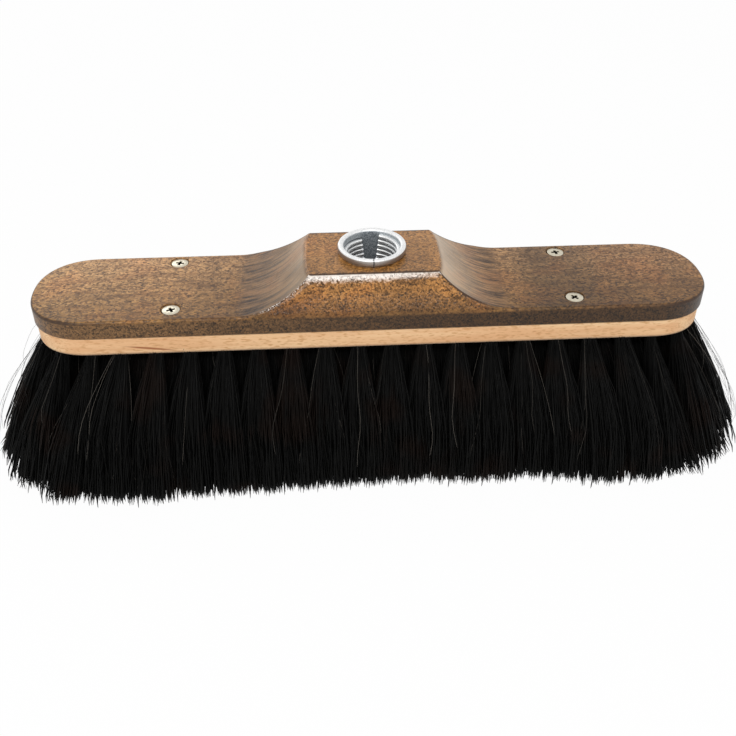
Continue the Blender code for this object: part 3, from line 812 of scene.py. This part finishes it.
SCREW_TOP = 0.0765
SCREW_LENGTH = 0.0160
SCREW_RADIUS = 0.0020
SCREW_TIP = 0.0002
SCREW_HEAD_RADIUS = 0.0038
SCREW_POINT = 0.0040
SCREW_SHIFT = 0.00015
CROSS_ARM = 0.0021
CROSS_WIDTH = 0.0013
CROSS_DEPTH = 0.0016
CROSS_TURNS = (22, 75, 40, 8)

# Bright zinc plating, creamy from its clear passivation; the cross recess is painted dark as shade.
# It is mottled a little more than once in a millimetre.

MOTTLE_MM = 10 / 9

plated, shader, add, place = new_material("zinc_plated_steel")
z = add("SeparateXYZ", [place]).outputs["Z"]
mottle = add("TexNoise", (place, 1000 / MOTTLE_MM, 2.0))
# Painted shade: below the top of the head the steel is painted dark
in_recess = add("MapRange", (z, SCREW_TOP - 0.0004, SCREW_TOP - 0.0001, 1.0, 0.0))
heads = add("Mix", (mottle, "#b5ab94", "#e3ddcc"), **LAY)
give_inputs(shader, {
    "Base Color": add("Mix", (in_recess, heads, "#191511"), **LAY), "Metallic": 1.0,
    "Roughness": add("MapRange", (in_recess, 0.0, 1.0, 0.28, 0.85))})

blank = bmesh.new()
add_lathe(blank, [
    (SCREW_TIP, -SCREW_LENGTH), (SCREW_RADIUS, SCREW_POINT - SCREW_LENGTH),
    (SCREW_RADIUS, SCREW_RADIUS - SCREW_HEAD_RADIUS - 0.0003), (SCREW_HEAD_RADIUS, -0.0003),
    (SCREW_HEAD_RADIUS, -0.0001), (SCREW_HEAD_RADIUS - 0.0002, 0.0)], SCREW_SIDES)
blank = add_piece("screw_blank", blank)
cross = bmesh.new()
cross_rings = []
for depth, share in ((-0.0002, 1.0), (CROSS_DEPTH, 0.5)):
    arm, half_width = CROSS_ARM * share, CROSS_WIDTH / 2 * share
    corners = []
    for quarter in range(4):
        turn = Matrix.Rotation(quarter * pi / 2, 2)
        for corner in ((arm, -half_width), (arm, half_width), (half_width, half_width)):
            corners.append(turn @ Vector(corner))
    cross_rings.append([cross.verts.new((*corner, -depth)) for corner in corners])
skin(cross, cross_rings)
cut_away(blank, cross)

tree, add, given = new_shape_tree("cross_recessed_screws", {"Blank": None})
end_tree(add, add("InstanceOnPoints", {
    "Points": given["Geometry"],
    "Instance": add("ObjectInfo", [given["Blank"]]).outputs["Geometry"],
    "Rotation": add("CombineXYZ", {
        "Z": add("InputNamedAttribute", ["turn"], data_type="FLOAT")})}), plated)

# The heads sit a little off the middle of their holes
screws = grow_piece("cover_screws", tree, {"Blank": blank}, [
    (x + SCREW_SHIFT, y - SCREW_SHIFT, SCREW_TOP) for x, y in screw_places], {
    "turn": [radians(turn) for turn in CROSS_TURNS]})
bpy.data.objects.remove(blank)
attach(screws, "root")
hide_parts("cover_screw_1", "cover_screw_2", "cover_screw_3", "cover_screw_4")


# Drawing wire
# A thin galvanised wire holds each folded knot of hair in its hole. It runs over the board from
# tuft to tuft, under the cover's recess, where nobody sees it.

WIRE_RADIUS = 0.0004
WIRE_HEIGHT = 0.0687

tree, add, given = new_shape_tree("drawing_wire", {"Wire radius": WIRE_RADIUS})
end_tree(add, add("CurveToMesh", {
    "Curve": add("MeshToCurve", [given["Geometry"]]),
    "Profile Curve": add("CurvePrimitiveCircle", {
        "Resolution": 8, "Radius": given["Wire radius"]}, mode="RADIUS"),
    "Fill Caps": True}), galvanised)

wire_places = []
wire_edges = []
for chain in tuft_chains().values():
    wire_edges += [(len(wire_places) + i, len(wire_places) + i + 1) for i in range(len(chain) - 1)]
    wire_places += [(x, y, WIRE_HEIGHT) for x, y in chain]
wire = grow_piece("drawing_wire", tree, {}, wire_places, edges=wire_edges)
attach(wire, "root")


# Horsehair tufts
# Black horse tail hair, folded over the wire in 98 knots and drawn down through the board. Each tuft
# leaves its hole as a tight neck, opens like a brush and is trimmed below; wear has made it ragged.

HAIRS_PER_TUFT = 540
HAIR_STEPS = (0.0, 0.155, 0.36, 0.62, 0.945, 1.0)
CLUMPS_PER_TUFT = 36
ROOT_HEIGHT = 0.0690
NECK_HEIGHT = 0.0580
NECK_RADIUS = 0.0021
HAIR_RADIUS = 0.00019
TIP_SPREAD = 1.88
END_FLARE = 0.0214
END_LEAN = 0.0046
RAGGED = 0.0022
CURL = 0.0016
SPRING = 1.6
WAVE_SCALES = (0.73, 2.2, 0.0)
FAN_SPRING = {"fan_left": 1.1, "fan_right": 0.95}
ODD_SHADE = 0.994
# Use has combed the front of the broom unevenly: (place along it, how far the tips lean forwards)
FRONT_LEAN = (
    (-0.150, 0.0040), (-0.137, 0.0086), (-0.122, 0.0106), (-0.108, 0.0124), (-0.094, 0.0116),
    (-0.080, 0.0088), (-0.058, 0.0094), (-0.036, 0.0074), (0.007, 0.0058), (0.022, 0.0052),
    (0.037, 0.0071), (0.051, 0.0073), (0.074, 0.0052), (0.088, 0.0092), (0.103, 0.0118),
    (0.118, 0.0110), (0.133, 0.0084), (0.148, 0.0042))

# Horsehair: nearly black, each hair smooth with a narrow dull sheen along it, and now and then a
# brown or pale one. Hairs are drawn twice as thick as real ones, so that they show.

BROWN_LOCKS_PER_METRE = 45

hair_material, shader, add, place = new_material("black_horsehair")
shade = add("Attribute", attribute_name="shade").outputs["Fac"]
brown_places = add("TexNoise", (place, BROWN_LOCKS_PER_METRE, 1.0))
hair_colour = "#080808"
for share, coat in (
        (shade, "#121211"),
        # Here and there a whole lock is brown rather than black
        (add("MapRange", (brown_places, 0.54, 0.68, 0.0, 0.8)), "#18100c"),
        (add("MapRange", (shade, ODD_SHADE, 1.0)), "#77716a")):
    hair_colour = add("Mix", (share, hair_colour, coat), **LAY)
give_inputs(shader, {"Base Color": hair_colour, "Roughness": 0.45, "Specular IOR Level": 0.08})

tree, add, given = new_shape_tree("horsehair_tufts", {
    "Hairs per tuft": HAIRS_PER_TUFT, "Points per hair": len(HAIR_STEPS),
    "Clumps per tuft": CLUMPS_PER_TUFT, "Root height": ROOT_HEIGHT, "Neck height": NECK_HEIGHT,
    "Neck radius": NECK_RADIUS, "Hair radius": HAIR_RADIUS, "Ragged": RAGGED, "Curl": CURL,
    "Spring": SPRING, "Thickening": 1.8, "Clump pull": 0.5, "Least shade": 0.0,
    "Most shade": ODD_SHADE, "Seed": 1})
tuft, clump, hair, step = [
    add("InputNamedAttribute", [name], data_type="INT") for name in ("tuft", "clump", "hair", "step")]
tip, cell = [add("InputNamedAttribute", [name], data_type="FLOAT_VECTOR") for name in ("tip", "cell")]
index = add("InputIndex")
root = add("InputPosition")
# Tufts become hairs, and hairs become rows of points, each of which knows its hair and its clump
shape = add("StoreNamedAttribute", {
    "Geometry": add("MeshToPoints", [given["Geometry"]]), "Name": "tuft",
    "Value": index}, data_type="INT")
shape = add("DuplicateElements", {"Geometry": shape, "Amount": given["Hairs per tuft"]}, domain="POINT")
clump_in_tuft = add("IntegerMath", (
    shape.outputs["Duplicate Index"], given["Clumps per tuft"]), operation="MODULO")
clump_number = add("IntegerMath", (
    add("IntegerMath", (tuft, given["Clumps per tuft"]), **TIMES), clump_in_tuft), **PLUS)
for name, value in (("clump", clump_number), ("hair", index)):
    shape = add("StoreNamedAttribute", {
        "Geometry": shape, "Name": name, "Value": value}, data_type="INT")
shape = add("DuplicateElements", {"Geometry": shape, "Amount": given["Points per hair"]}, domain="POINT")
hair_points = add("StoreNamedAttribute", {
    "Geometry": shape, "Name": "step", "Value": shape.outputs["Duplicate Index"]}, data_type="INT")

# How far down its drop a point lies; each hair bends at heights of its own
last_step = add("Math", (given["Points per hair"], 1.0), **MINUS)
even_drop = add("Math", (step, last_step), **OVER)
before_tip = add("Math", (0.8, even_drop), use_clamp=True, **MINUS)
bend_shift = add("Math", (
    add("Math", (before_tip, even_drop), **TIMES),
    add("RandomValue", (-0.5, 0.5, hair, 83))), **TIMES)
drop = add("FloatCurve", {"Value": add("Math", (even_drop, bend_shift), **PLUS)})
drop_curve = drop.mapping.curves[0]
for number, share in enumerate(HAIR_STEPS[1:-1], 1):
    drop_curve.points.new(number / (len(HAIR_STEPS) - 1), share)
for point in drop_curve.points:
    point.handle_type = "VECTOR"
drop.mapping.update()
# How far it has come out of the neck: a hair springs out at once and then hangs ever more steeply
neck_share = add("Math", (given["Neck height"], given["Root height"]), **OVER)
free_drop = add("MapRange", (drop, add("Math", (1.0, neck_share), **MINUS), 1.0))
to_go = add("Math", (1.0, free_drop), **MINUS)
own_spring = add("Math", (given["Spring"], add("RandomValue", (0.65, 1.5, hair, 67))), **TIMES)
splay = add("Math", (1.0, add("Math", (to_go, own_spring), **POWER)), **MINUS)

# Each hair has its own place in its tuft's cell on the floor, and is drawn towards its clump's.
# A cell is a rectangle, turned outwards in the fans
clump_seed = add("IntegerMath", (given["Seed"], 7), **PLUS)
cell_places = []
for owner, seed in ((hair, given["Seed"]), (clump, clump_seed)):
    roll = add("RandomValue", (
        (-1.0, -1.0, 0.0), (1.0, 1.0, 1.0), owner, seed), data_type="FLOAT_VECTOR")
    cell_places.append(add("VectorMath", (roll, (1.0, 1.0, 0.0)), **TIMES))
    cell_places.append(add("SeparateXYZ", [roll]).outputs["Z"])
hair_cell, hair_height, clump_cell, clump_height = cell_places
pull = add("Math", (given["Clump pull"], add("Math", (free_drop, 0.6), **POWER)), **TIMES)
floor_place = add("Mix", (pull, hair_cell, clump_cell), data_type="VECTOR")
spread = add("VectorRotate", {
    "Vector": add("VectorMath", (floor_place, cell), **TIMES),
    "Angle": add("SeparateXYZ", [cell]).outputs["Z"]}, rotation_type="Z_AXIS")
stray = add("MapRange", (add("RandomValue", (0.0, 1.0, hair, 31)), 0.985, 1.0, 1.0, 1.35))
spread = add("VectorMath", (spread, stray), operation="SCALE")
lean = add("VectorMath", (tip, root), **MINUS)
sideways = add("VectorMath", (add("VectorMath", (lean, spread), **PLUS), splay), operation="SCALE")
in_neck = add("VectorMath", (
    add("VectorMath", (hair_cell, given["Neck radius"]), operation="SCALE"),
    add("Math", (1.0, splay), **MINUS)), operation="SCALE")
wave_place = add("VectorMath", (add("CombineXYZ", (hair, drop)), WAVE_SCALES), **TIMES)
wave = add("TexNoise", (wave_place, 1.0, 0.0))
curl = add("VectorMath", (
    add("VectorMath", (wave.outputs["Color"], (0.5, 0.5, 0.5)), **MINUS),
    add("Math", (splay, given["Curl"]), **TIMES)), operation="SCALE")
plan = add("VectorMath", (
    add("VectorMath", (root, sideways), **PLUS),
    add("VectorMath", (in_neck, curl), **PLUS)), **PLUS)
plan_x, plan_y, _ = add("SeparateXYZ", [plan]).outputs
tip_height = add("Math", (add("Mix", (0.5, clump_height, hair_height)), given["Ragged"]), **TIMES)
point_height = add("MapRange", (drop, 0.0, 1.0, given["Root height"], tip_height))
curves = add("PointsToCurves", {
    "Points": add("SetPosition", {
        "Geometry": hair_points, "Position": add("CombineXYZ", (plan_x, plan_y, point_height))}),
    "Curve Group ID": hair, "Weight": even_drop})
curves = add("SetCurveTilt", {"Curve": curves, "Tilt": add("RandomValue", (0.0, 2 * pi, hair, 71))})
# Further down a strand stands for more of the hairs round it, and it ends in a point
thicken = add("MapRange", (even_drop, 0.2, 0.8, 0.75, given["Thickening"]))
sharpen = add("MapRange", (even_drop, 0.8, 1.0, 1.0, 0.25))
strands = add("CurveToMesh", {
    "Curve": curves,
    "Profile Curve": add("CurvePrimitiveCircle", {
        "Resolution": 3, "Radius": given["Hair radius"]}, mode="RADIUS"),
    "Scale": add("Math", (thicken, sharpen), **TIMES), "Fill Caps": True})
end_tree(add, add("StoreNamedAttribute", {
    "Geometry": strands, "Name": "shade", "Value": add("RandomValue", (
        given["Least shade"], given["Most shade"], hair, 53))}, data_type="FLOAT"), hair_material)


def tuft_tip(x, y):
    """Where the middle of a tuft comes down on the floor."""
    ahead = min(max(-y / ROW_OUTER, 0.0), 1.0)
    aside = max((abs(x) - end_centre) / FAN_REACH, 0.0)
    tip_x = x + copysign(END_FLARE * abs(x / (end_centre + FAN_REACH)) ** 3, x)
    forward = float(np.interp(tip_x, *zip(*FRONT_LEAN))) * ahead ** 0.5 + END_LEAN * aside ** 2
    return tip_x, y * TIP_SPREAD * 0.97 - forward, 0.0


def tuft_cell(x, y):
    """Half the length and width of a tuft's place on the floor, and how far it is turned."""
    in_front_row = y < -0.9 * ROW_OUTER
    if abs(x) < end_centre - 0.001:
        return rank_pitch * 0.88, row_step * TIP_SPREAD * (0.42 if in_front_row else 0.50), 0.0
    outward_angle = atan2(y, abs(x) - end_centre)
    return (0.0087 if in_front_row else 0.0115, 0.0135 if y < 0 else 0.0170,
            outward_angle if x > 0 else -outward_angle)


def grow_hair(name, roots, sizes):
    """Hair out of the given holes, with each tuft's tip and cell; each strand is smooth all round."""
    return grow_piece(name, tree, sizes, [(x, y, 0.0) for x, y in roots], {
        "tip": [tuft_tip(x, y) for x, y in roots],
        "cell": [tuft_cell(x, y) for x, y in roots]}, smooth_angle=180)


for name, chain in tuft_chains().items():
    tuft_hair = grow_hair("horsehair_" + name, chain, {"Spring": FAN_SPRING.get(name, SPRING)})
    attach(tuft_hair, "root")
    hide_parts("tuft_" + name)

# Stray hairs: thin single ones, brown and pale among them, that have come loose from the tufts.
# More of them stand off the left end, where they bow out wide, than off the right end
for name, roots, sizes in (
        ("stray_hairs", tuft_places, {
            "Hairs per tuft": 4, "Hair radius": 0.00007, "Ragged": 0.030, "Curl": 0.009,
            "Least shade": 0.991, "Most shade": 1.0, "Seed": 5}),
        ("loose_hairs_left", tuft_chains()["fan_left"], {
            "Hairs per tuft": 36, "Hair radius": 0.00008, "Ragged": 0.012, "Curl": 0.007,
            "Spring": 1.3, "Most shade": 0.996, "Seed": 9}),
        ("loose_hairs_right", tuft_chains()["fan_right"], {
            "Hairs per tuft": 32, "Hair radius": 0.00008, "Ragged": 0.010, "Curl": 0.006,
            "Spring": 1.1, "Most shade": 0.996, "Seed": 13})):
    strays = grow_hair(name, roots, {
        "Points per hair": 16, "Thickening": 0.9, "Clump pull": 0.0, **sizes})
    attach(strays, "root")


# Floor, lights and world
# A white studio: a pale floor that keeps a faint shadow, a big soft key from the upper front left
# and a smaller soft light from behind. The camera and the metal see plain white all round.

FLOOR_HALF_WIDTH = 3.0
FLOOR_DROP = 0.0003
WHITE = (1.0, 1.0, 1.0, 1.0)


def seen_white(add):
    """1 where a ray comes from the camera, metal or glass, and 0 where it only lights the broom."""
    rays = add("LightPath").outputs
    mirrored = add("Math", (rays["Is Glossy Ray"], rays["Is Transmission Ray"]), operation="MAXIMUM")
    return add("Math", (rays["Is Camera Ray"], mirrored), operation="MAXIMUM")


floor_mesh = bmesh.new()
bmesh.ops.create_grid(floor_mesh, x_segments=1, y_segments=1, size=FLOOR_HALF_WIDTH)
floor = add_piece("studio_floor", floor_mesh)
floor.data.transform(Matrix.Translation((0.0, 0.0, -FLOOR_DROP)))
paper = bpy.data.materials.new("white_studio_floor")
paper.use_nodes = True
paper.node_tree.nodes.clear()
add = partial(add_node, paper.node_tree)
add("OutputMaterial", {"Surface": add("MixShader", (
    add("Math", (seen_white(add), 0.96), **TIMES),
    add("BsdfDiffuse", {"Color": (0.9, 0.9, 0.9, 1.0)}),
    add("Emission", {"Color": WHITE, "Strength": 1.0})))})
floor.data.materials.append(paper)

world = bpy.data.worlds.new("white_studio")
world.use_nodes = True
world.node_tree.nodes.clear()
add = partial(add_node, world.node_tree)
add("OutputWorld", {"Surface": add("Background", {
    "Color": WHITE, "Strength": add("MapRange", (seen_white(add), 0.0, 1.0, 0.60, 1.0))})})
scene.world = world

for name, place, width, depth, power in (
        ("key_light", (-0.14, -0.85, 1.00), 0.90, 0.10, 8.0),
        ("back_light", (-0.50, 1.20, 0.78), 0.50, 0.50, 1.2)):
    light_data = bpy.data.lights.new(name, "AREA")
    light_data.shape = "RECTANGLE"
    light_data.size = width
    light_data.size_y = depth
    light_data.energy = power
    light = bpy.data.objects.new(name, light_data)
    light.location = place
    light.rotation_euler = (Vector(place) - CAMERA_TARGET).to_track_quat("Z", "Y").to_euler()
    scene.collection.objects.link(light)
